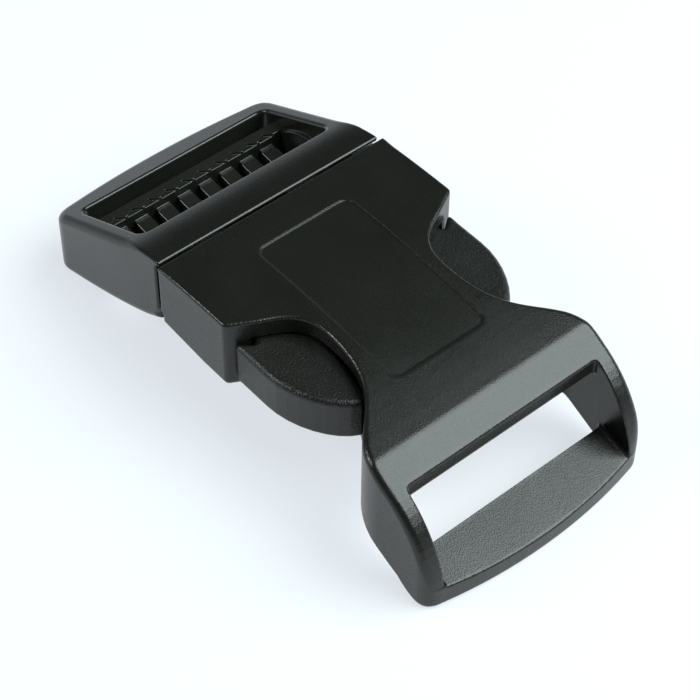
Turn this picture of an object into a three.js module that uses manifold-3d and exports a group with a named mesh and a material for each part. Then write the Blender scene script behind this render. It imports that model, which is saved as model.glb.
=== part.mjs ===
// Contoured side-release buckle with a ladder-lock adjuster, for 25 mm webbing.
// Units are millimetres, +Z is up, +X runs from the plug towards the socket's webbing bar.
// Inside the assembly x = 0 is the seam between plug and socket and z = 0 the crown of the arch;
// the group then moves everything so that the origin is the middle of the footprint.

import * as THREE from 'three';
import { mergeVertices } from 'three/addons/utils/BufferGeometryUtils.js';
import Module from 'manifold-3d';

const wasm = await Module();
wasm.setup();

// ---- driving dimensions ----------------------------------------------------------------------

const ARCH_HEIGHT = 16.8; // crown above the surface that both ends stand on
const CROWN_RADIUS = 138; // the long curve of the top
const CROWN_X = 11.1;
const SEAM_GAP = 0.35;
const RUNNING_GAP = 0.25; // above and below the prongs in the cavity
const FAR = 40; // reaches past the part in every direction

const SOCKET_HALF = 15.6;
const FLARE_HALF = 15.2;
const WAIST_HALF = 7.9;
const SHOULDER_X = 11.5;
const SOCKET_END_X = 44.6;
const PLATE_BOTTOM = -9.45;
const CAVITY_HALF = 13.05;
const CAVITY_TOP = -2.45;
const CAVITY_BOTTOM = -8.25;
const CAVITY_END_X = 27.9;
const PANEL = { x0: 5, x1: 27.6, half: 6.4, corner: 1.3, depth: 0.12 };

const SLOT_HALF = 13.03; // clear width for the webbing
const BAND_X = 33.8; // the crown ends and the sloping band begins
const SLOT_X = 36.9;
const BAND_END_Z = -3.75;
const END_WALL = 2;
const TOP_PLATE = 1.9;
const BAR = { innerX: 38.7, innerZ: -12.7, slope: 0.254 };
const NOSE = { x: 43.2, z: -13.5 }; // where the rails come down to the end bar

const PLUG_HALF = 15.2;
const PLUG_END_X = -22.1;
const PLUG_TOP = -0.45;
const PLUG_BEND_X = -3.2;
const PLUG_SLOPE = Math.tan(THREE.MathUtils.degToRad(25.1));
const PLUG_BOW = 1.2;
const WINDOW = { nearX: -6, farX: -17.95, half: 13.05, corner: 1.1 };

const LADDER = { farX: -16, crestX: -14.3, topZ: -7.9, nearX: -11.4, shelfZ: -9.2, floorZ: -10.8 };
const NOTCH = { pitch: 2.35, count: 10, half: 1.1, length: 0.7, depth: 0.3 };
const CLEAT = { pitch: 3, count: 8, width: 2 };
const CHEEK = 0.45;
const OVERLAP = 0.5; // how far a bar or step runs into its wall, and a notch past the edge that it cuts

const TONGUE = { half: 3.5, endX: 24.5, top: -3.3, bottom: -7.4 };
const PRONG = { rootX: -1.2, rootY: 11.3, rootR: 1.4, outer: 12.75, inner: 9.9 };
const PRONG_TOP = CAVITY_TOP - RUNNING_GAP;
const PRONG_BOTTOM = CAVITY_BOTTOM + RUNNING_GAP;
const SEAT_GAP = 0.3; // round a prong's root
const LOBE = { rearX: 12.3, half: 14.9, hookX: 13.4, tipX: 26.6 };

// ---- shaping tools ---------------------------------------------------------------------------

// A closed three.js geometry as a solid that can be joined and cut.
function toSolid(geometry) {
  const bare = geometry.index ? geometry.toNonIndexed() : geometry.clone();
  bare.deleteAttribute('normal');
  bare.deleteAttribute('uv');
  const merged = mergeVertices(bare, 1e-4);
  const mesh = new wasm.Mesh({
    numProp: 3,
    vertProperties: new Float32Array(merged.attributes.position.array),
    triVerts: new Uint32Array(merged.index.array),
  });
  return new wasm.Manifold(mesh);
}

function toGeometry(solid) {
  const mesh = solid.getMesh();
  const geometry = new THREE.BufferGeometry();
  geometry.setAttribute('position', new THREE.BufferAttribute(mesh.vertProperties, 3));
  geometry.setIndex(new THREE.BufferAttribute(mesh.triVerts, 1));
  geometry.computeVertexNormals();
  return geometry;
}

// A plan outline (x, y) raised from z0 to z1.
function plate(shape, z0, z1, curveSegments = 10) {
  const geometry = new THREE.ExtrudeGeometry(shape, { depth: z1 - z0, bevelEnabled: false, curveSegments });
  geometry.translate(0, 0, z0);
  return toSolid(geometry);
}

// A side outline (x, z) spread from y0 to y1.
function rib(shape, y0, y1, curveSegments = 10) {
  const geometry = new THREE.ExtrudeGeometry(shape, { depth: y1 - y0, bevelEnabled: false, curveSegments });
  geometry.rotateX(Math.PI / 2);
  geometry.translate(0, y1, 0);
  return toSolid(geometry);
}

function polygon(points) {
  return new THREE.Shape(points.map(([x, y]) => new THREE.Vector2(x, y)));
}

function roundedRectangle(x0, x1, y0, y1, r) {
  const shape = new THREE.Shape();
  shape.moveTo(x0 + r, y0);
  shape.lineTo(x1 - r, y0);
  shape.absarc(x1 - r, y0 + r, r, -Math.PI / 2, 0);
  shape.lineTo(x1, y1 - r);
  shape.absarc(x1 - r, y1 - r, r, 0, Math.PI / 2);
  shape.lineTo(x0 + r, y1);
  shape.absarc(x0 + r, y1 - r, r, Math.PI / 2, Math.PI);
  shape.lineTo(x0, y0 + r);
  shape.absarc(x0 + r, y0 + r, r, Math.PI, Math.PI * 1.5);
  return shape;
}

// Closes a half outline, given for y > 0, by its mirror image in the x axis.
function mirrored(half) {
  const points = half.getPoints(8);
  const other = points.map((p) => new THREE.Vector2(p.x, -p.y)).reverse();
  return new THREE.Shape([...points, ...other]);
}

// The same plan outline on the other side of the x axis.
function flipped(shape) {
  return new THREE.Shape(shape.getPoints(8).map((p) => new THREE.Vector2(p.x, -p.y)));
}

function crownZ(x) {
  return -((x - CROWN_X) ** 2) / (2 * CROWN_RADIUS);
}

function crownPoints(x0, x1, drop = 0, steps = 14) {
  return Array.from({ length: steps + 1 }, (_, i) => {
    const x = x0 + ((x1 - x0) * i) / steps;
    return [x, crownZ(x) - drop];
  });
}

// ---- socket ----------------------------------------------------------------------------------

function barTopZ(x) {
  return BAR.innerZ - (x - BAR.innerX) * BAR.slope;
}

// Side view: crown, sloping band, the rails' rounded nose, the low end bar and the arched underside.
function socketSide() {
  const shape = polygon(crownPoints(SEAM_GAP / 2, BAND_X));
  shape.lineTo(SLOT_X, BAND_END_Z);
  shape.quadraticCurveTo(41.6, -6.7, NOSE.x, NOSE.z);
  shape.lineTo(SOCKET_END_X + 1, NOSE.z - 0.4);
  shape.lineTo(SOCKET_END_X + 1, -ARCH_HEIGHT);
  shape.lineTo(41.2, -ARCH_HEIGHT);
  shape.quadraticCurveTo(39.8, -ARCH_HEIGHT, 38.2, -15.1);
  shape.lineTo(33, -12.6);
  shape.quadraticCurveTo(28, -9.9, 23, PLATE_BOTTOM - 0.1);
  shape.lineTo(7.5, PLATE_BOTTOM);
  shape.lineTo(SEAM_GAP / 2, -8.8);
  return shape;
}

// Plan view: mouth, shoulder, side notch, waist, flare and the bowed end, for y > 0.
function socketPlan() {
  const half = new THREE.Path();
  half.moveTo(SEAM_GAP / 2, SOCKET_HALF - 0.4);
  half.quadraticCurveTo(SEAM_GAP / 2, SOCKET_HALF, 0.7, SOCKET_HALF);
  half.lineTo(SHOULDER_X, SOCKET_HALF);
  half.lineTo(13.3, 12.3);
  half.bezierCurveTo(14.6, 9.4, 15.6, WAIST_HALF, 19.3, WAIST_HALF);
  half.bezierCurveTo(27.2, 8, 28.2, 11.4, 31.2, 13.9);
  half.quadraticCurveTo(32.9, FLARE_HALF, 35.2, FLARE_HALF);
  half.lineTo(41.4, FLARE_HALF);
  half.quadraticCurveTo(42.8, FLARE_HALF - 0.1, NOSE.x, 13.1);
  half.quadraticCurveTo(SOCKET_END_X, 6.8, SOCKET_END_X, 0);
  return mirrored(half);
}

// The space that the plug's tongue and prongs slide in.
function cavity() {
  const plan = roundedRectangle(-FAR, CAVITY_END_X, -CAVITY_HALF, CAVITY_HALF, 1.2);
  return plate(plan, CAVITY_BOTTOM, CAVITY_TOP, 5);
}

// The space behind the band that the webbing comes up through, and the slot over the end bar.
function webbingPassage() {
  const startX = CAVITY_END_X + END_WALL;
  const side = polygon([
    [startX, -FAR],
    [startX, crownZ(startX) - TOP_PLATE],
    [BAND_X - 0.4, crownZ(BAND_X) - TOP_PLATE],
    [SLOT_X, BAND_END_Z - TOP_PLATE],
    [SLOT_X, FAR],
    [SOCKET_END_X + 1, FAR],
    [SOCKET_END_X + 1, barTopZ(SOCKET_END_X + 1)],
    [BAR.innerX, BAR.innerZ],
    [BAR.innerX, -FAR],
  ]);
  const half = new THREE.Path();
  half.moveTo(startX, 9.2);
  half.quadraticCurveTo(31.2, SLOT_HALF, 34, SLOT_HALF);
  half.lineTo(FAR * 2, SLOT_HALF);
  return rib(side, -FAR, FAR).intersect(plate(mirrored(half), -FAR, FAR));
}

// A smooth rounded rectangle that is sunk a little into the crown.
function panelRecess() {
  const floor = crownPoints(PANEL.x0, PANEL.x1, PANEL.depth);
  const side = polygon([...floor, [PANEL.x1, 1], [PANEL.x0, 1]]);
  const outline = roundedRectangle(PANEL.x0, PANEL.x1, -PANEL.half, PANEL.half, PANEL.corner);
  return rib(side, -FAR, FAR).intersect(plate(outline, -FAR, FAR, 4));
}

function socketBody() {
  return rib(socketSide(), -FAR, FAR)
    .intersect(plate(socketPlan(), -FAR, FAR))
    .subtract(cavity())
    .subtract(webbingPassage())
    .subtract(panelRecess());
}

// ---- plug ------------------------------------------------------------------------------------

function plugTopZ(x) {
  return PLUG_TOP + Math.min(0, x - PLUG_BEND_X) * PLUG_SLOPE;
}

// Side view of the base and the sloping adjuster frame.
function plugSide() {
  const shape = polygon([
    [-SEAM_GAP / 2, PLUG_TOP],
    [PLUG_BEND_X + 0.6, PLUG_TOP],
    [PLUG_BEND_X - 0.6, plugTopZ(PLUG_BEND_X - 0.6)],
    [PLUG_END_X - 1, plugTopZ(PLUG_END_X - 1)],
    [PLUG_END_X - 1, -ARCH_HEIGHT],
    [-19.6, -ARCH_HEIGHT],
  ]);
  shape.quadraticCurveTo(-9, -13.9, -3.1, -11.1);
  shape.quadraticCurveTo(-1.2, -10, -SEAM_GAP / 2, -9);
  return shape;
}

function plugPlan() {
  const half = new THREE.Path();
  half.moveTo(-SEAM_GAP / 2, PLUG_HALF - 0.3);
  half.quadraticCurveTo(-SEAM_GAP / 2, PLUG_HALF, -0.6, PLUG_HALF);
  half.lineTo(PLUG_END_X + PLUG_BOW + 2.4, PLUG_HALF);
  half.quadraticCurveTo(PLUG_END_X + PLUG_BOW, PLUG_HALF, PLUG_END_X + PLUG_BOW - 0.15, 12.6);
  half.quadraticCurveTo(PLUG_END_X, 6.4, PLUG_END_X, 0);
  return mirrored(half);
}

// The toothed bar that the webbing wraps round.
function ladderBar() {
  const core = polygon([
    [LADDER.farX, LADDER.topZ],
    [LADDER.crestX, LADDER.topZ],
    [LADDER.crestX, LADDER.floorZ + 0.6],
    [LADDER.nearX, LADDER.floorZ],
    [LADDER.nearX, -12.7],
    [LADDER.farX, -13.9],
  ]);
  const cleat = polygon([
    [LADDER.crestX - 0.3, LADDER.shelfZ],
    [LADDER.nearX + 0.6, LADDER.shelfZ - 0.5],
    [LADDER.nearX + 0.1, LADDER.shelfZ - 1.1],
    [LADDER.nearX + 0.1, LADDER.floorZ - 1],
    [LADDER.crestX - 0.3, LADDER.floorZ - 1],
  ]);
  let bar = rib(core, -WINDOW.half - OVERLAP, WINDOW.half + OVERLAP);
  for (let i = 0; i < CLEAT.count; i++) {
    const y = (i - (CLEAT.count - 1) / 2) * CLEAT.pitch;
    bar = bar.add(rib(cleat, y - CLEAT.width / 2, y + CLEAT.width / 2));
  }
  for (let i = 0; i < NOTCH.count; i++) {
    bar = bar.subtract(ladderNotch((i - (NOTCH.count - 1) / 2) * NOTCH.pitch));
  }
  return bar;
}

// One V-notch in the crest's edge, centred on y; the notches leave a row of teeth that point at the base.
function ladderNotch(y) {
  const half = (NOTCH.half * (NOTCH.length + OVERLAP)) / NOTCH.length;
  const outline = polygon([
    [LADDER.crestX - NOTCH.length, y],
    [LADDER.crestX + OVERLAP, y - half],
    [LADDER.crestX + OVERLAP, y + half],
  ]);
  return plate(outline, LADDER.topZ - NOTCH.depth, 0);
}

// A low step on the inside of a side wall that carries the end of the ladder bar.
function cheek(y0, y1) {
  const side = new THREE.Shape();
  side.moveTo(LADDER.farX, -8.9);
  side.lineTo(-15, -8.6);
  side.quadraticCurveTo(-11.2, -5.6, -8.8, -5.6);
  side.quadraticCurveTo(-7.6, -5.8, -7.4, -7.4);
  side.lineTo(-7.4, -12.4);
  side.lineTo(LADDER.farX, -14.6);
  return rib(side, y0, y1);
}

// The flat blade between the prongs that keeps the plug straight in the socket.
function tongue() {
  const { half, endX } = TONGUE;
  const plan = new THREE.Shape();
  plan.moveTo(-1, -half);
  plan.lineTo(endX - half, -half);
  plan.quadraticCurveTo(endX, -half, endX, 0);
  plan.quadraticCurveTo(endX, half, endX - half, half);
  plan.lineTo(-1, half);
  return plate(plan, TONGUE.bottom, TONGUE.top);
}

// The seat in the base that a prong's root sits in, open towards the socket.
function seatPlan() {
  const r = PRONG.rootR + SEAT_GAP;
  const { rootX, rootY } = PRONG;
  const plan = new THREE.Shape();
  plan.moveTo(1, rootY - r);
  plan.lineTo(1, rootY + r);
  plan.lineTo(rootX, rootY + r);
  plan.absarc(rootX, rootY, r, Math.PI / 2, Math.PI * 1.5);
  return plan;
}

function plugFrame() {
  const { nearX, farX, half, corner } = WINDOW;
  const frame = rib(plugSide(), -FAR, FAR).intersect(plate(plugPlan(), -FAR, FAR));
  const seatZ = [PRONG_BOTTOM - SEAT_GAP, PRONG_TOP + SEAT_GAP];
  return frame
    .subtract(plate(roundedRectangle(farX, nearX, -half, half, corner), -FAR, FAR, 4))
    .add(ladderBar())
    .add(cheek(half - CHEEK, half + OVERLAP))
    .add(cheek(-half - OVERLAP, CHEEK - half))
    .add(tongue())
    .subtract(plate(seatPlan(), ...seatZ))
    .subtract(plate(flipped(seatPlan()), ...seatZ));
}

// The left prong's plan, on the +Y side: round root, straight spring arm and the lobe in the notch.
function prongPlan() {
  const { rootX, rootY, rootR, outer, inner } = PRONG;
  const { rearX, half, hookX, tipX } = LOBE;
  const plan = new THREE.Shape();
  plan.moveTo(rootX, rootY + rootR);
  plan.lineTo(hookX - 0.6, outer);
  plan.lineTo(hookX, outer + 0.2);
  plan.lineTo(rearX, half - 0.2);
  plan.quadraticCurveTo(rearX + 0.2, half, rearX + 0.6, half);
  plan.lineTo(17.4, half);
  plan.bezierCurveTo(21.2, half, 25.4, 12.6, tipX, 9.9);
  plan.quadraticCurveTo(tipX + 0.1, 9, tipX - 0.9, 8.9);
  plan.bezierCurveTo(22.5, 8.2, 21, 7.3, 18, 7.3);
  plan.bezierCurveTo(14.6, 7.3, 13.6, inner, 10.5, inner);
  plan.lineTo(rootX, rootY - rootR);
  plan.absarc(rootX, rootY, rootR, Math.PI * 1.5, Math.PI / 2, true);
  return plan;
}

// ---- assembly --------------------------------------------------------------------------------

function part(name, solid, color, roughness) {
  const material = new THREE.MeshStandardMaterial({ color, roughness, metalness: 0 });
  const mesh = new THREE.Mesh(toGeometry(solid), material);
  mesh.name = name;
  return mesh;
}

const buckle = new THREE.Group();
buckle.add(
  part('socket', socketBody(), 0x1d211f, 0.5),
  part('plug_frame', plugFrame(), 0x202423, 0.45),
  part('prong_left', plate(prongPlan(), PRONG_BOTTOM, PRONG_TOP, 8), 0x1b1f1e, 0.5),
  part('prong_right', plate(flipped(prongPlan()), PRONG_BOTTOM, PRONG_TOP), 0x1b1f1e, 0.5),
);
buckle.position.set(-(PLUG_END_X + SOCKET_END_X) / 2, 0, ARCH_HEIGHT);

export default buckle;
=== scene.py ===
"""Contoured side-release buckle for 25 mm webbing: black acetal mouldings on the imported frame.

Each moulding is described by its signed distance, in millimetres, in the buckle's own frame: x = 0 is the
seam between plug and socket and z = 0 the crown of the arch. A net of quads is drawn over the zero of that
distance and settled on it, so every moulded edge has its real rounding in the mesh.
"""

import math

import bmesh
import bpy
import numpy as np
from mathutils import Matrix, Vector


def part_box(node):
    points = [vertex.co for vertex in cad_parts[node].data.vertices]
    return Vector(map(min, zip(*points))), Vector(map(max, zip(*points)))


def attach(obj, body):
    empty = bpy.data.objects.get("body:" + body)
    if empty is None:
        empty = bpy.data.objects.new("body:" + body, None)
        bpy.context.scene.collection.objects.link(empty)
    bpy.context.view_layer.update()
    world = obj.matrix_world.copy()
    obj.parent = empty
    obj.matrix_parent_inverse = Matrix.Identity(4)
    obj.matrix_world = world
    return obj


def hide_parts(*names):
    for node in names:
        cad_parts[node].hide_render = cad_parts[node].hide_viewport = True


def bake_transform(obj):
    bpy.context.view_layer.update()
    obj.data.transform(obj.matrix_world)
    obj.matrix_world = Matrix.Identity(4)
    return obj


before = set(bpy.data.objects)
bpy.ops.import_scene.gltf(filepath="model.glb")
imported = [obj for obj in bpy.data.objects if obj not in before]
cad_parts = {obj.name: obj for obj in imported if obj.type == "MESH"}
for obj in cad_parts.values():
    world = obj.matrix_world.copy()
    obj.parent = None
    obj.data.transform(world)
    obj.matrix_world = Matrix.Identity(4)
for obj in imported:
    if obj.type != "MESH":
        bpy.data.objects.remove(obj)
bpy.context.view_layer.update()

# ---- sizes in millimetres ----------------------------------------------------------------------------

MM = 0.001
SEAM = 0.175  # half the gap between plug and socket
PANEL = {"x0": 5.0, "x1": 27.6, "half": 6.4, "corner": 1.3, "depth": 0.12, "edge": 0.06, "foot": 0.03}
PANEL_INSETS = (0.01, 0.4, 1.3, 2.5, 4, 5.4, PANEL["half"])  # where the rings of its floor lie
PANEL_STEPS = {"x": 28, "y": 8}  # points between its corners along X and along Y
BORDER = {"cut": 0.5, "depth": 0.3, "width": 0.9, "lift": 0.001}  # the panel's own strip of crown round it
SOCKET_LOW, SOCKET_HIGH = (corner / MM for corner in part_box("socket"))
PLUG_LOW, PLUG_HIGH = (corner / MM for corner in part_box("plug_frame"))
ORIGIN = np.array([SOCKET_LOW.x - SEAM, 0.0, SOCKET_HIGH.z])
FLOOR_Z = -ORIGIN[2]

CROWN_X = 11.1
CROWN_RADIUS = 138.0
SOCKET_HALF = SOCKET_HIGH.y
SOCKET_END = SOCKET_HIGH.x - ORIGIN[0]
FLARE_HALF = 15.2
WAIST_HALF = 7.9
SHOULDER_X = 11.5
PLATE_BOTTOM = -9.45
CAVITY = {"half": 13.05, "top": -2.45, "bottom": -8.25, "end": 27.9, "corner": 1.2}
SLOT_HALF = 13.03
BAND_X = 33.8
SLOT_X = 36.9
BAND_END_Z = -3.75
BAND_FILLET = 0.45
TOP_PLATE = 1.9
BAR = {"x": 38.7, "z": -12.7, "slope": 0.254}
NOSE = (43.2, -13.5)

PLUG_HALF = PLUG_HIGH.y
PLUG_END = PLUG_LOW.x - ORIGIN[0]
PLUG_BOW = 1.2
PLUG_TOP = -0.45
PLUG_SLOPE = 0.468
PLUG_BEND_X = -6.0
LIP = {"height": 0.5, "recess": 0.55}  # the plug's seam face steps back below its top edge
WINDOW = {"near": -6.0, "far": -17.95, "half": 13.05, "corner": 1.1}
TONGUE = {"half": 3.5, "end": 24.5, "top": -3.3, "bottom": -7.4}

# A slanted plane has a slope, and the cosine of its angle makes it a true distance.
CREST = {"far": -16.0, "near": -14.3, "top": -7.9, "foot": -13.0}
LADDER = {"near": -11.4, "floor": -10.7, "bottom": -12.7, "slope": 0.26, "cosine": 0.968, "sink": 0.3}
CLEAT = {"pitch": 3.0, "count": 8, "half": 1.0, "far": -15.0, "lip": 0.5, "top": -9.2, "foot": -12.0}
CLEAT_FALL = {"slope": 0.13, "cosine": 0.99}
NOTCH = {"pitch": 2.35, "count": 10, "half": 1.1, "length": 0.7, "depth": 0.3, "cosine": 0.84}
CHEEK = 0.45

PRONG = {"root": (-1.2, 11.3), "radius": 1.4, "outer": 12.75, "inner": 9.9, "top": -2.7, "bottom": -8.0}
LOBE = {"rear": 12.3, "half": 14.9, "hook": 13.4, "tip": 26.6}

BLACK = (0.0044, 0.0048, 0.0032)  # the acetal's colour; GREY where cloudy, and painted light on rubbed edges and polished zones
GREY = (0.0120, 0.0128, 0.0104)

# Lights: azimuth from +X towards +Y and elevation in degrees, distance and size in metres.
KEY = {"azimuth": 42, "elevation": 51, "distance": 0.6, "size": (0.58, 0.56), "radiance": 7.8}
RIM = {"azimuth": -124, "elevation": 39, "distance": 0.6, "size": (0.2, 0.2), "radiance": 12}
FLOOR_GLOW = {"start": 0.08, "end": 0.22, "near": 0.66, "far": 0.15}  # along X, in metres
WALL_GLOW = {"left": -0.1, "right": 0.8, "bright": 0.75, "dim": 0.1}  # by the X of the direction
CEILING = {"start": 0.08, "end": 0.26, "glow": 0.08}  # by the Z of the direction
CAMERA = {"azimuth": 49.16, "elevation": 48.36, "roll": 0.67, "distance": 0.2219}
LENS = {"focal": 113.14, "sensor": 36}
CAMERA_AIM = (22.2, -7.8, 0)  # in millimetres, in the buckle's own frame

# ---- distances ---------------------------------------------------------------------------------------


def ramp(value, start, end, low=0.0, high=1.0):
    """low before start and high after end, with a smooth change between them."""
    t = np.clip((value - start) / (end - start), 0, 1)
    return low + (high - low) * t * t * (3 - 2 * t)


def common(a, b, radius):
    """The space that two distances share, its edge rounded to radius."""
    corner = np.hypot(np.maximum(a + radius, 0), np.maximum(b + radius, 0)) - radius
    return corner + np.minimum(np.maximum(a, b) + radius, 0)


def cut(a, b, radius):
    """a without b, with the edge of the cut rounded."""
    return common(a, -b, radius)


def joined(a, b, radius):
    """a and b together, with a fillet where they meet."""
    return -common(-a, -b, radius)


def slab(value, low, high):
    return np.abs(value - (low + high) / 2) - (high - low) / 2


def rounded_rectangle(u, v, u_range, v_half, corner):
    a = slab(u, *u_range) + corner
    b = np.abs(v) - v_half + corner
    return np.hypot(np.maximum(a, 0), np.maximum(b, 0)) + np.minimum(np.maximum(a, b), 0) - corner


def folded(value, pitch, count):
    """The distance from value to the nearest of count places, pitch apart and centred on zero."""
    last = (count - 1) / 2
    place = np.clip(np.round(value / pitch - last) + last, -last, last)
    return value - place * pitch


class Outline:
    """A closed outline of straight lines and Bezier curves."""

    def __init__(self, *start):
        self.points = [start]

    def to(self, *points):
        self.points += points
        return self

    def bend(self, *controls, steps=8):
        """A Bezier curve from the last point: its control points, and last its end."""
        hull = np.array([self.points[-1], *controls], float)
        degree = len(controls)
        for t in np.linspace(0, 1, steps + 1)[1:]:
            weights = [math.comb(degree, i) * t**i * (1 - t) ** (degree - i) for i in range(degree + 1)]
            self.points.append(tuple(np.dot(weights, hull)))
        return self

    def mirrored(self):
        """Closes a half outline, drawn for v > 0, by its mirror image."""
        self.points += [(u, -v) for u, v in reversed(self.points)]
        return self

    def distance(self, u, v):
        """Signed distance from (u, v), below zero inside."""
        u, v = np.broadcast_arrays(u, v)
        nearest = np.full(u.shape, np.inf)
        inside = np.zeros(u.shape, bool)
        for (au, av), (bu, bv) in zip(self.points, self.points[1:] + self.points[:1]):
            eu, ev = bu - au, bv - av
            length = eu * eu + ev * ev
            if length == 0:
                continue
            pu, pv = u - au, v - av
            t = np.clip((pu * eu + pv * ev) / length, 0, 1)
            nearest = np.minimum(nearest, (pu - eu * t) ** 2 + (pv - ev * t) ** 2)
            if ev != 0:
                inside ^= ((av > v) != (bv > v)) & (pu < pv * eu / ev)
        return np.where(inside, -1, 1) * np.sqrt(nearest)


def crown(x):
    return -((x - CROWN_X) ** 2) / (2 * CROWN_RADIUS)


# ---- socket ------------------------------------------------------------------------------------------


def socket_side():
    """Side view: crown, sloping band, the rails' nose, the foot and the arched underside."""
    edge = 0.3
    side = Outline(SEAM, crown(SEAM) - edge).bend((SEAM, crown(SEAM)), (SEAM + edge, crown(SEAM + edge)))
    side.to(*((x, crown(x)) for x in np.linspace(1.5, BAND_X - BAND_FILLET, 18)))
    share = BAND_FILLET / (SLOT_X - BAND_X)
    below = crown(BAND_X) + (BAND_END_Z - crown(BAND_X)) * share
    side.bend((BAND_X, crown(BAND_X)), (BAND_X + BAND_FILLET, below)).to((SLOT_X, BAND_END_Z))
    side.bend((41.6, -6.7), NOSE, steps=12).to((SOCKET_END + 1, NOSE[1] - 0.4), (SOCKET_END + 1, FLOOR_Z))
    side.to((41.2, FLOOR_Z)).bend((39.8, FLOOR_Z), (38.2, -15.1)).to((33, -12.6))
    side.bend((28, -9.9), (23, PLATE_BOTTOM - 0.1)).to((7.5, PLATE_BOTTOM), (SEAM + 0.4, -8.85))
    return side.bend((SEAM, -8.8), (SEAM, -8.4))


def socket_plan():
    """Plan view: mouth, shoulder, side notch, waist, flare and the bowed end."""
    plan = Outline(-5, SOCKET_HALF).to((SHOULDER_X - 0.4, SOCKET_HALF))
    plan.bend((SHOULDER_X, SOCKET_HALF), (SHOULDER_X + 0.25, SOCKET_HALF - 0.45)).to((13.3, 12.3))
    plan.bend((14.6, 9.4), (15.6, WAIST_HALF), (19.3, WAIST_HALF), steps=12)
    plan.bend((27.2, 8), (28.2, 11.4), (31.2, 13.9), steps=14)
    plan.bend((32.9, FLARE_HALF), (35.2, FLARE_HALF)).to((41.2, FLARE_HALF))
    plan.bend((42.9, FLARE_HALF), (NOSE[0], 13.1)).bend((SOCKET_END, 6.8), (SOCKET_END, 0))
    return plan.mirrored()


def passage_side():
    """Side view of the space that the webbing comes up through behind the band and over the end bar."""
    start = CAVITY["end"] + 2
    out = SOCKET_END + 3
    side = Outline(start, -30).to((start, crown(start) - TOP_PLATE))
    side.to((BAND_X - 0.4, crown(BAND_X) - TOP_PLATE), (SLOT_X, BAND_END_Z - TOP_PLATE), (SLOT_X, 10))
    side.to((out, 10), (out, BAR["z"] - (out - BAR["x"]) * BAR["slope"]))
    return side.to((BAR["x"], BAR["z"]), (BAR["x"], -30))


def passage_plan():
    plan = Outline(CAVITY["end"] + 2, 9.2).bend((31.2, SLOT_HALF), (34, SLOT_HALF))
    return plan.to((60, SLOT_HALF)).mirrored()


SOCKET_SIDE = socket_side()
SOCKET_PLAN = socket_plan()
PASSAGE_SIDE = passage_side()
PASSAGE_PLAN = passage_plan()
UNDERSIDE = ([0.2, 7.5, 23, 28, 33, 38.2, 41.2], [-8.8, -9.45, -9.55, -10.6, -12.6, -15.1, FLOOR_Z])


def panel(x, y):
    return rounded_rectangle(x, y, (PANEL["x0"], PANEL["x1"]), PANEL["half"], PANEL["corner"])


def sunk_panel(x, y, z):
    """The crown with the smooth panel sunk in it; the panel's edge is thin and rounded."""
    height = z - crown(x)
    return cut(height, common(panel(x, y), -PANEL["depth"] - height, PANEL["foot"]), PANEL["edge"])


def socket_edge(x, y, z):
    """Radius of the socket's outer edges: crisp on the crown, soft on the flare, softest below."""
    over_bar = ramp(x, 41, 42.5) * ramp(np.abs(y), SLOT_HALF + 0.2, SLOT_HALF - 0.3)
    upper = ramp(x, 27, 34, 0.35, 0.85) - ramp(x, 41, 43.5, 0, 0.4) * (1 - over_bar) - 0.75 * over_bar
    below = ramp(x, 16, 20, 0.9, 0.35) + ramp(x, 37, 41, 0, 0.4)
    lower = ramp(z - np.interp(x, *UNDERSIDE), 2.2, 1.2)
    seam = ramp(z, -0.5, -1.5, ramp(x, 0, 2.5, 0.3, 1), 1)
    return seam * (upper + (below - upper) * lower)


def socket(x, y, z):
    body = common(SOCKET_PLAN.distance(x, y), SOCKET_SIDE.distance(x, z), socket_edge(x, y, z))
    mouth = rounded_rectangle(x, y, (-20, CAVITY["end"]), CAVITY["half"], CAVITY["corner"])
    body = cut(body, common(mouth, slab(z, CAVITY["bottom"], CAVITY["top"]), 0.3), 0.25)
    body = cut(body, common(PASSAGE_PLAN.distance(x, y), PASSAGE_SIDE.distance(x, z), 0.5), 0.2)
    return cut(body, common(panel(x, y) - BORDER["cut"], crown(x) - BORDER["depth"] - z, 0.1), 0.02)


# ---- plug --------------------------------------------------------------------------------------------


def plug_top(x):
    """The top of the base rolls over into the straight slope of the adjuster frame."""
    roll = PLUG_SLOPE / (2 * -PLUG_BEND_X) * np.maximum(x, PLUG_BEND_X) ** 2
    return PLUG_TOP - roll + PLUG_SLOPE * np.minimum(x - PLUG_BEND_X, 0)


def plug_side():
    edge = 0.3
    side = Outline(-SEAM, PLUG_TOP - edge).bend((-SEAM, PLUG_TOP), (-SEAM - edge, PLUG_TOP))
    side.to(*((x, plug_top(x)) for x in np.linspace(-1, PLUG_BEND_X, 12)))
    side.to((PLUG_END - 1, plug_top(PLUG_END - 1)), (PLUG_END - 1, FLOOR_Z), (-19.6, FLOOR_Z))
    face = -SEAM - LIP["recess"]
    under_lip = PLUG_TOP - LIP["height"]
    side.bend((-9, -13.9), (-3.1, -11.1), steps=12).bend((-1.4, -10.2), (face, -9.7))
    return side.to((face, under_lip - 0.35)).bend((face, under_lip), (-SEAM, under_lip), steps=4)


def plug_plan():
    end = PLUG_END + PLUG_BOW
    plan = Outline(5, PLUG_HALF).to((end + 2.4, PLUG_HALF)).bend((end, PLUG_HALF), (end - 0.15, 12.6))
    return plan.bend((PLUG_END, 6.4), (PLUG_END, 0)).mirrored()


def tongue_plan():
    half, end = TONGUE["half"], TONGUE["end"]
    return Outline(-1, half).to((end - half, half)).bend((end, half), (end, 0)).mirrored()


def cheek_side():
    """The step on each side wall that carries the end of the ladder bar."""
    side = Outline(CREST["far"], -8.9).to((-15, -8.6)).bend((-11.2, -5.6), (-8.8, -5.6))
    return side.bend((-7.6, -5.8), (-7.4, -7.4)).to((-7.4, -12.4), (CREST["far"], -14.6))


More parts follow.
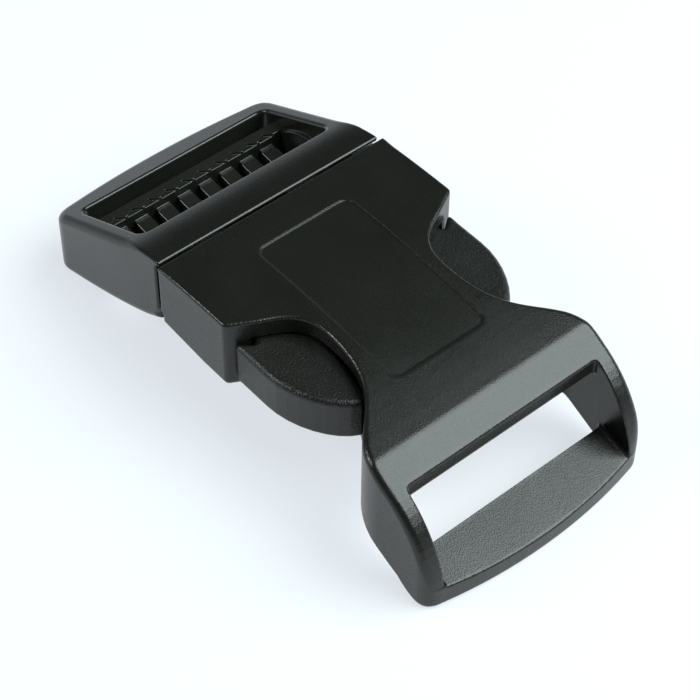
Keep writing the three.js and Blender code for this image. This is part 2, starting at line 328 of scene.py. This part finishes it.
PLUG_SIDE = plug_side()
PLUG_PLAN = plug_plan()
TONGUE_PLAN = tongue_plan()
CHEEK_SIDE = cheek_side()


def plug_edge(x, z):
    """Radius of the plug's outer edges: crisp at the seam, soft round the adjuster frame."""
    upper = ramp(x, -3, -7, 0.35, 0.9)
    lower = ramp(z - np.interp(x, [-19.6, -3.1, 0], [FLOOR_Z, -11.1, -9.6]), 2.2, 1.2)
    seam = ramp(z, PLUG_TOP - 0.3, PLUG_TOP - 1.2, ramp(x, 0, -2.5, 0.3, 1), 1)
    return seam * (upper + (1 - upper) * lower)


def plug_frame(x, y, z):
    frame_body = common(PLUG_PLAN.distance(x, y), PLUG_SIDE.distance(x, z), plug_edge(x, z))
    window = rounded_rectangle(x, y, (WINDOW["far"], WINDOW["near"]), WINDOW["half"], WINDOW["corner"])
    frame_body = cut(frame_body, window, 0.45)
    wall = slab(np.abs(y), WINDOW["half"] - CHEEK, WINDOW["half"] + 0.5)
    step = common(CHEEK_SIDE.distance(x, z), wall, 0.15)
    blade = common(TONGUE_PLAN.distance(x, y), slab(z, TONGUE["bottom"], TONGUE["top"]), 0.6)
    return joined(joined(frame_body, step, 0.1), blade, 0.4)


def ladder_bar(x, y, z):
    """The toothed bar that the webbing wraps round, its ends sunk in the side walls."""
    base = common(slab(x, CREST["far"], LADDER["near"]), z - LADDER["floor"], 0.25)
    under = LADDER["bottom"] - LADDER["slope"] * (LADDER["near"] - x) - z
    base = common(base, under * LADDER["cosine"], 0.4)
    crest = common(slab(x, CREST["far"], CREST["near"]), slab(z, CREST["foot"], CREST["top"]), 0.14)
    share = np.abs(folded(y, NOTCH["pitch"], NOTCH["count"])) / NOTCH["half"]
    notch = (CREST["near"] - NOTCH["length"] * (1 - share) - x) * NOTCH["cosine"]
    crest = cut(crest, np.maximum(notch, CREST["top"] - NOTCH["depth"] - z), 0.1)
    cleat_y = np.abs(folded(y, CLEAT["pitch"], CLEAT["count"])) - CLEAT["half"]
    top = (z - CLEAT["top"] + CLEAT_FALL["slope"] * (x - CREST["near"])) * CLEAT_FALL["cosine"]
    cleat = common(common(top, slab(x, CLEAT["far"], LADDER["near"] + CLEAT["lip"]), 0.25), cleat_y, 0.2)
    cleat = common(cleat, CLEAT["foot"] - z, 0.2)
    bar = joined(joined(base, crest, 0.15), cleat, 0.06)
    return common(bar, np.abs(y) - WINDOW["half"] - LADDER["sink"], 0.05)


# ---- prongs ------------------------------------------------------------------------------------------


def prong_plan():
    """The +y prong: root inside the base, straight spring arm and the finger lobe in the notch."""
    (root_x, root_y), radius = PRONG["root"], PRONG["radius"]
    rear, half, hook, tip = (LOBE[key] for key in ("rear", "half", "hook", "tip"))
    plan = Outline(root_x - 0.8, root_y + radius).to((root_x, root_y + radius), (hook - 0.6, PRONG["outer"]))
    plan.bend((hook, PRONG["outer"]), (hook - 0.25, PRONG["outer"] + 0.6)).to((rear, half - 0.4))
    plan.bend((rear, half), (rear + 0.7, half)).to((17.4, half)).bend((21.2, half), (25.4, 12.6), (tip, 9.9))
    plan.bend((tip + 0.1, 9), (tip - 0.9, 8.9)).bend((22.5, 8.2), (21, 7.3), (18, 7.3), steps=10)
    plan.bend((14.6, 7.3), (13.6, PRONG["inner"]), (10.5, PRONG["inner"]), steps=10)
    return plan.to((root_x, root_y - radius), (root_x - 0.8, root_y - radius))


PRONG_PLAN = prong_plan()


def prong(x, y, z):
    middle = (PRONG["top"] + PRONG["bottom"]) / 2
    edge = ramp(x, 11, 14, 0.3, ramp(z, middle - 1, middle + 1, 0.4, 0.7))
    return common(PRONG_PLAN.distance(x, y), slab(z, PRONG["bottom"], PRONG["top"]), edge)


# ---- surfaces ----------------------------------------------------------------------------------------


def sample(grid, places):
    """The value of a grid between its points, places counted in grid steps."""
    base = np.clip(places.astype(int), 0, np.array(grid.shape) - 2)
    part = places - base
    total = 0.0
    for corner in np.ndindex(2, 2, 2):
        share = np.prod(np.where(corner, part, 1 - part), axis=1)
        total = total + share * grid[tuple((base + corner).T)]
    return total


def net(values):
    """Quads round the zero of a grid of distances: one vertex in each cell that the surface crosses."""
    inside = values < 0
    cells, places, quads = [], [], []
    for axis in range(3):
        near = [slice(None)] * 3
        far = [slice(None)] * 3
        near[axis], far[axis] = slice(None, -1), slice(1, None)
        edges = np.argwhere(inside[tuple(near)] != inside[tuple(far)])
        ahead = edges.copy()
        ahead[:, axis] += 1
        start, end = values[tuple(edges.T)], values[tuple(ahead.T)]
        crossing = edges.astype(float)
        crossing[:, axis] += start / (start - end)
        side_a, side_b = np.eye(3, dtype=int)[[(axis + 1) % 3, (axis + 2) % 3]]
        ring = [edges, edges - side_a, edges - side_a - side_b, edges - side_b]
        ids = np.stack([np.ravel_multi_index(tuple(cell.T), values.shape) for cell in ring], axis=1)
        quads.append(np.where((start < 0)[:, None], ids, ids[:, ::-1]))
        cells.append(ids.ravel())
        places.append(np.repeat(crossing, 4, axis=0))
    found, order = np.unique(np.concatenate(cells), return_inverse=True)
    places = np.concatenate(places)
    count = np.bincount(order)
    middle = np.stack([np.bincount(order, places[:, k]) / count for k in range(3)], axis=1)
    return middle, np.searchsorted(found, np.concatenate(quads))


def surface(distance, low, high, step):
    """Points and quads on the zero of distance in a box, with how sharply the surface curves outwards."""
    start = np.array(low, float) - 2.3 * step
    axes = [np.arange(a, b + 3 * step, step) for a, b in zip(start, high)]
    values = distance(*np.meshgrid(*axes, indexing="ij", sparse=True))
    slopes = np.gradient(values, step)
    bulge = sum(np.gradient(slopes[k], step, axis=k) for k in range(3))
    places, quads = net(values)
    for _ in range(3):
        points = start + places * step
        push = np.stack([sample(slope, places) for slope in slopes], axis=1)
        push /= np.maximum(np.linalg.norm(push, axis=1, keepdims=True), 1e-6)
        off = np.clip(distance(*points.T), -step / 2, step / 2)
        places = places - push * off[:, None] / step
    return start + places * step, quads, bulge, start


def thin_out(mesh, triangles):
    """The same surface with fewer, larger triangles where it is flat."""
    mesh.calc_loop_triangles()
    holder = bpy.data.objects.new(mesh.name, mesh)
    bpy.context.scene.collection.objects.link(holder)
    thin = holder.modifiers.new("thin", "DECIMATE")
    thin.ratio = min(1.0, triangles / len(mesh.loop_triangles))
    bpy.context.view_layer.update()
    evaluated = holder.evaluated_get(bpy.context.evaluated_depsgraph_get())
    made = bpy.data.meshes.new_from_object(evaluated)
    bpy.data.objects.remove(holder)
    return made


def normals_of(distance, points):
    """Unit normals of the distance's own zero surface."""
    reach = 0.02
    total = np.zeros_like(points)
    for way in ((1, -1, -1), (-1, -1, 1), (-1, 1, -1), (1, 1, 1)):
        way = np.array(way, float)
        total += way * distance(*(points + way * reach).T)[:, None]
    return total / np.linalg.norm(total, axis=1, keepdims=True)


def points_of(mesh):
    points = np.empty(len(mesh.vertices) * 3)
    mesh.vertices.foreach_get("co", points)
    return points.reshape(-1, 3)


def moulding(name, distance, low, high, step, triangles, zones, material):
    """One moulded piece as a mesh object in the row frame, with an edge mask and zone masks in its points."""
    points, quads, bulge, start = surface(distance, low, high, step)
    full = bpy.data.meshes.new(name)
    full.from_pydata(points.tolist(), [], quads.tolist())
    mesh = thin_out(full, triangles)
    points = points_of(mesh)
    masks = {"edge": np.clip(sample(bulge, (points - start) / step) * 0.35, 0, 1)}
    masks.update({zone: mask(*points.T) for zone, mask in zones.items()})
    return finished(name, mesh, distance, masks, material)


def finished(name, mesh, distance, masks, material):
    """The object of a mesh in millimetres: masks, exact normals, material and its place in the row frame."""
    points = points_of(mesh)
    for zone, mask in masks.items():
        attribute = mesh.attributes.new(zone, "FLOAT", "POINT")
        attribute.data.foreach_set("value", np.broadcast_to(mask, len(points)).astype(np.float32))
    normals = normals_of(distance, points)
    mesh.vertices.foreach_set("co", ((points + ORIGIN) * MM).ravel())
    mesh.polygons.foreach_set("use_smooth", np.ones(len(mesh.polygons), bool))
    mesh.normals_split_custom_set_from_vertices(normals.tolist())
    mesh.materials.clear()
    mesh.materials.append(material)
    mesh.name = name
    piece = bpy.data.objects.new(name, mesh)
    bpy.context.scene.collection.objects.link(piece)
    return piece


# ---- materials ---------------------------------------------------------------------------------------


class Nodes:
    """A small helper that adds shader nodes and links their inputs by name."""

    def __init__(self, tree):
        self.tree = tree
        tree.nodes.clear()

    def add(self, kind, inputs=None, **settings):
        node = self.tree.nodes.new("ShaderNode" + kind)
        for key, value in settings.items():
            setattr(node, key, value)
        for key, value in (inputs or {}).items():
            if isinstance(value, bpy.types.NodeSocket):
                self.tree.links.new(value, node.inputs[key])
            else:
                node.inputs[key].default_value = value
        return node

    def value(self, operation, a, b=0.0, clamp=False):
        return self.add("Math", {0: a, 1: b}, operation=operation, use_clamp=clamp).outputs[0]

    def between(self, share, low, high):
        """low where share is 0 and high where it is 1."""
        return self.add("MapRange", {"Value": share, "To Min": low, "To Max": high}).outputs["Result"]


def acetal(name, roughness, grain_size, grain_depth):
    """Moulded black acetal: spark-eroded grain, polished zones, slightly rubbed edges.

    grain_size and grain_depth are in metres. The mesh's own masks say where it is rubbed (edge), polished,
    or coarse in grain. Rubbed edges are lightened as a painted highlight, polished zones as painted fill
    light.
    """
    material = bpy.data.materials.new(name)
    material.use_nodes = True
    n = Nodes(material.node_tree)
    place = n.add("TexCoord").outputs["Object"]
    edge = n.add("Attribute", attribute_name="edge").outputs["Fac"]
    polish_and_fill_light = n.add("Attribute", attribute_name="polish_and_fill_light").outputs["Fac"]
    coarse = n.add("Attribute", attribute_name="coarse").outputs["Fac"]

    def noise(size, detail=2.0, rough=0.5):
        inputs = {"Vector": place, "Scale": 1 / size, "Detail": detail, "Roughness": rough}
        return n.add("TexNoise", inputs).outputs["Fac"]

    cloud = noise(9 * MM, 3.0)
    speck = noise(grain_size * 1.7, 1.0)
    cells = {"Vector": place, "Scale": 1 / grain_size}
    pits = n.add("TexVoronoi", cells, feature="SMOOTH_F1").outputs["Distance"]
    fine = noise(grain_size * 0.6, 1.0)
    grain = n.value("ADD", n.value("MULTIPLY", pits, 0.9), n.value("MULTIPLY", speck, 0.4))
    grain = n.value("ADD", grain, n.value("MULTIPLY", fine, 0.5))

    # Rubbed edges: wear makes them glossier, and their lighter colour is a painted highlight.
    rubbed_and_highlight = n.value("MULTIPLY", edge, n.between(noise(1.6 * MM, 3.0), -0.3, 1.3), clamp=True)
    tint = n.value("ADD", n.value("MULTIPLY", cloud, 0.35), n.value("MULTIPLY", rubbed_and_highlight, 0.35))
    # Polished zones are lightened towards GREY: painted fill light, mostly in the window and on the toothed
    # bar.
    tint = n.value("ADD", tint, n.value("MULTIPLY", polish_and_fill_light, 0.5), clamp=True)
    colour_mix = n.add("Mix", {"Factor": tint, "A": (*BLACK, 1), "B": (*GREY, 1)}, data_type="RGBA")

    dull = n.value("ADD", roughness, n.value("MULTIPLY", n.value("SUBTRACT", cloud, 0.5), 0.16))
    dull = n.value("ADD", dull, n.value("MULTIPLY", n.value("SUBTRACT", fine, 0.5), 0.3))
    dull = n.value("SUBTRACT", dull, n.value("MULTIPLY", rubbed_and_highlight, 0.18))
    dull = n.value("SUBTRACT", dull, n.value("MULTIPLY", polish_and_fill_light, 0.04), clamp=True)

    left = n.value("SUBTRACT", 1.0, n.value("MULTIPLY", polish_and_fill_light, 0.9))
    left = n.value("MULTIPLY", left, n.value("ADD", 1.0, n.value("MULTIPLY", coarse, 0.9)))
    height = n.value("MULTIPLY", grain, left)
    bump = n.add("Bump", {"Strength": 1.0, "Distance": grain_depth, "Height": height})
    shader = n.add(
        "BsdfPrincipled",
        {
            "Base Color": colour_mix.outputs[2],
            "Roughness": dull,
            "IOR": 1.45,
            "Normal": bump.outputs["Normal"],
        },
    )
    n.add("OutputMaterial", {"Surface": shader.outputs["BSDF"]})
    return material


# ---- the pieces --------------------------------------------------------------------------------------


def socket_polish_and_fill_light(x, y, z):
    """The walls of the cavity and of the slot are smooth, up to the end bar, and lightened there as painted
    fill light.
    """
    outer = np.maximum(SOCKET_PLAN.distance(x, y), SOCKET_SIDE.distance(x, z))
    return ramp(outer, -0.5, -1.0) * ramp(x, SLOT_X + 0.9, SLOT_X + 0.5)


def socket_coarse(x, y, z):
    return ramp(x, 5, 0.5) * 0.7


def plug_polish_and_fill_light(x, y, z):
    """Smooth inside the window and on the tongue, satin on the frame; lightened in the same measure as
    painted fill light.
    """
    window = rounded_rectangle(x, y, (WINDOW["far"], WINDOW["near"]), WINDOW["half"], WINDOW["corner"])
    inside = ramp(window, 0.25, 0.05) * ramp(z, plug_top(x) - 0.1, plug_top(x) - 0.4)
    return np.maximum(np.maximum(inside, ramp(x, 0, 0.5)), 0.35 * ramp(x, -4, -8))


def nothing(x, y, z):
    return np.zeros_like(x)


def everything(x, y, z):
    return np.ones_like(x)


def make_pieces():
    shell = acetal("socket_acetal", 0.29, 0.135 * MM, 0.018 * MM)
    satin = acetal("plug_acetal", 0.27, 0.17 * MM, 0.010 * MM)
    grip = acetal("prong_acetal", 0.38, 0.16 * MM, 0.024 * MM)

    low = (SEAM, -SOCKET_HALF, FLOOR_Z)
    high = (SOCKET_END, SOCKET_HALF, 0)
    zones = {"polish_and_fill_light": socket_polish_and_fill_light, "coarse": socket_coarse}
    piece = moulding("socket_shell", socket, low, high, 0.2, 130_000, zones, shell)
    place_piece(piece, "socket", "socket")
    make_panel(shell)

    low = (PLUG_END, -PLUG_HALF, FLOOR_Z)
    high = (TONGUE["end"], PLUG_HALF, PLUG_TOP)
    zones = {"polish_and_fill_light": plug_polish_and_fill_light, "coarse": nothing}
    piece = moulding("plug_body", plug_frame, low, high, 0.2, 110_000, zones, satin)
    place_piece(piece, "plug", "plug_frame")

    half = WINDOW["half"] + LADDER["sink"]
    low = (CREST["far"], -half, -14.5)
    high = (LADDER["near"] + CLEAT["lip"], half, CREST["top"])
    # the whole toothed bar is smooth, and lightened as painted fill light in the window
    zones = {"polish_and_fill_light": everything, "coarse": nothing}
    piece = moulding("toothed_bar", ladder_bar, low, high, 0.09, 80_000, zones, satin)
    place_piece(piece, "plug", "plug_frame")

    for side, name in ((1, "prong_left"), (-1, "prong_right")):
        make_prong(side, name, grip)


def panel_ring(inset, height):
    """A ring of points round the panel's outline, drawn in by inset and lifted by height over the crown."""
    corner = max(PANEL["corner"] - inset, 0)
    half_x = (PANEL["x1"] - PANEL["x0"]) / 2 - inset - corner
    half_y = PANEL["half"] - inset - corner
    ring = []
    for turn, (side_x, side_y) in enumerate(((1, 1), (-1, 1), (-1, -1), (1, -1))):
        for angle in np.radians(np.linspace(0, 90, 7) + 90 * turn):
            x = side_x * half_x + corner * math.cos(angle)
            ring.append((x, side_y * half_y + corner * math.sin(angle)))
        count = PANEL_STEPS["x" if turn % 2 == 0 else "y"]
        along = np.linspace(0, 1, count + 2)[1:-1] * 2 - 1
        if turn % 2 == 0:
            ring += [(-side_x * t * half_x, side_y * (half_y + corner)) for t in along]
        else:
            ring += [(side_x * (half_x + corner), -side_y * t * half_y) for t in along]
    middle = (PANEL["x0"] + PANEL["x1"]) / 2
    return [(middle + x, y, crown(middle + x) + height) for x, y in ring]


def make_panel(material):
    """The sunk panel as a thin plate: rings from under the crown, over its border and edge, to its middle."""
    edge, depth = PANEL["edge"], PANEL["depth"]
    border, lift = BORDER["width"], BORDER["lift"]
    rings = [panel_ring(-BORDER["cut"], -BORDER["depth"] - 0.1), panel_ring(-border, -lift)]
    rings += [panel_ring(inset, lift) for inset in (-border, -0.4)]
    for angle in np.radians((0, 22.5, 45, 67.5, 90)):
        rings.append(panel_ring(edge * (math.sin(angle) - 1), edge * (math.cos(angle) - 1)))
    rings += [panel_ring(inset, -depth) for inset in PANEL_INSETS]
    shape = bmesh.new()
    loops = [[shape.verts.new(point) for point in ring] for ring in rings]
    shape.faces.new(loops[0][::-1])
    for below, above in zip(loops, loops[1:]):
        for i in range(len(below)):
            shape.faces.new((below[i - 1], below[i], above[i], above[i - 1]))
    bmesh.ops.remove_doubles(shape, verts=shape.verts, dist=0.0004)
    bmesh.ops.recalc_face_normals(shape, faces=shape.faces)
    mesh = bpy.data.meshes.new("crown_panel")
    shape.to_mesh(mesh)
    shape.free()
    x, y, z = points_of(mesh).T
    masks = {
        "edge": 0.0,
        # the panel's floor: a little smoother, and a little lighter as painted fill light
        "polish_and_fill_light": 0.2 * ramp(z - crown(x), -0.05, -0.1),
        "coarse": socket_coarse(x, y, z) * ramp(z - crown(x), -0.1, -0.05),
    }
    piece = finished("crown_panel", mesh, sunk_panel, masks, material)
    place_piece(piece, "socket", "socket")


def place_piece(piece, body, node):
    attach(piece, body)
    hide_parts(node)


def make_prong(side, name, material):
    """One prong: its spring arm runs from the base that it grows from to the lobe that is squeezed."""

    def distance(x, y, z):
        return prong(x, y * side, z)

    root_x = PRONG["root"][0]
    ys = sorted((side * (LOBE["half"]), side * 7.3))
    low = (root_x - 0.8, ys[0], PRONG["bottom"])
    high = (LOBE["tip"], ys[1], PRONG["top"])
    zones = {"polish_and_fill_light": nothing, "coarse": lambda x, y, z: ramp(x, 10, 12)}
    piece = moulding(name + "_arm", distance, low, high, 0.14, 40_000, zones, material)
    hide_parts(name)
    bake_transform(piece)


# ---- studio ------------------------------------------------------------------------------------------


def make_floor():
    """A wide white light-table top: diffuse, and lit a little from below."""
    size = 2.0
    mesh = bpy.data.meshes.new("floor")
    corners = [(-size, -size, 0), (size, -size, 0), (size, size, 0), (-size, size, 0)]
    mesh.from_pydata([(x, y, z - 0.00002) for x, y, z in corners], [], [(0, 1, 2, 3)])
    floor = bpy.data.objects.new("floor", mesh)
    bpy.context.scene.collection.objects.link(floor)
    material = bpy.data.materials.new("floor_white")
    material.use_nodes = True
    n = Nodes(material.node_tree)
    place = n.add("SeparateXYZ", {"Vector": n.add("TexCoord").outputs["Object"]}).outputs
    start, end, near, far = (FLOOR_GLOW[key] for key in ("start", "end", "near", "far"))
    fade = {"Value": place["X"], "From Min": start, "From Max": end, "To Min": near, "To Max": far}
    glow = n.add("MapRange", fade, interpolation_type="SMOOTHSTEP").outputs["Result"]
    shader = n.add(
        "BsdfPrincipled",
        {
            "Base Color": (0.24, 0.24, 0.24, 1),
            "Roughness": 0.9,
            "Specular IOR Level": 0.0,
            "Emission Color": (0.94, 1.0, 1.06, 1),
            "Emission Strength": glow,
        },
    )
    n.add("OutputMaterial", {"Surface": shader.outputs["BSDF"]})
    mesh.materials.append(material)


def make_world():
    """A dim studio: a bright band low down behind the plug, like a white paper wall, fades to the right."""
    world = bpy.data.worlds.new("studio")
    bpy.context.scene.world = world
    world.use_nodes = True
    n = Nodes(world.node_tree)
    direction = n.add("SeparateXYZ", {"Vector": n.add("TexCoord").outputs["Generated"]}).outputs
    left, right, bright, dim = (WALL_GLOW[key] for key in ("left", "right", "bright", "dim"))
    across = {"Value": direction["X"], "From Min": left, "From Max": right, "To Min": bright, "To Max": dim}
    wall = n.add("MapRange", across, interpolation_type="SMOOTHSTEP").outputs["Result"]
    start, end, dark = (CEILING[key] for key in ("start", "end", "glow"))
    up = {"Value": direction["Z"], "From Min": start, "From Max": end, "To Min": wall, "To Max": dark}
    glow = n.add("MapRange", up, interpolation_type="SMOOTHSTEP").outputs["Result"]
    background = n.add("Background", {"Color": (0.90, 0.98, 1.06, 1), "Strength": glow})
    n.add("OutputWorld", {"Surface": background.outputs["Background"]})


def softbox(name, azimuth, elevation, distance, size, radiance, colour):
    """A rectangular area light aimed at the buckle."""
    data = bpy.data.lights.new(name, "AREA")
    data.shape = "RECTANGLE"
    data.size, data.size_y = size
    data.color = colour
    data.energy = radiance * math.pi * size[0] * size[1]
    light = bpy.data.objects.new(name, data)
    bpy.context.scene.collection.objects.link(light)
    a, e = math.radians(azimuth), math.radians(elevation)
    way = Vector((math.cos(a) * math.cos(e), math.sin(a) * math.cos(e), math.sin(e)))
    light.location = way * distance
    light.rotation_mode = "QUATERNION"
    light.rotation_quaternion = way.to_track_quat("Z", "Y")


def make_camera():
    """A long lens looking down on the buckle from the front right."""
    azimuth, elevation, roll = (math.radians(CAMERA[key]) for key in ("azimuth", "elevation", "roll"))
    aim = Vector((ORIGIN + CAMERA_AIM) * MM)
    back = Vector((
        math.sin(azimuth) * math.cos(elevation),
        -math.cos(azimuth) * math.cos(elevation),
        math.sin(elevation),
    ))
    level = Vector((math.cos(azimuth), math.sin(azimuth), 0))
    up = back.cross(level)
    right = level * math.cos(roll) + up * math.sin(roll)
    rotation = Matrix((right, back.cross(right), back)).transposed()
    data = bpy.data.cameras.new("camera")
    data.lens = LENS["focal"]
    data.sensor_width = LENS["sensor"]
    data.clip_start, data.clip_end = 0.01, 10
    camera = bpy.data.objects.new("camera", data)
    bpy.context.scene.collection.objects.link(camera)
    camera.matrix_world = Matrix.Translation(aim + back * CAMERA["distance"]) @ rotation.to_4x4()
    bpy.context.scene.camera = camera


make_camera()
make_world()
make_floor()
softbox("key", **KEY, colour=(0.88, 1.0, 1.0))
softbox("rim", **RIM, colour=(0.95, 1.0, 1.0))
bpy.context.scene.view_settings.view_transform = "Standard"
make_pieces()
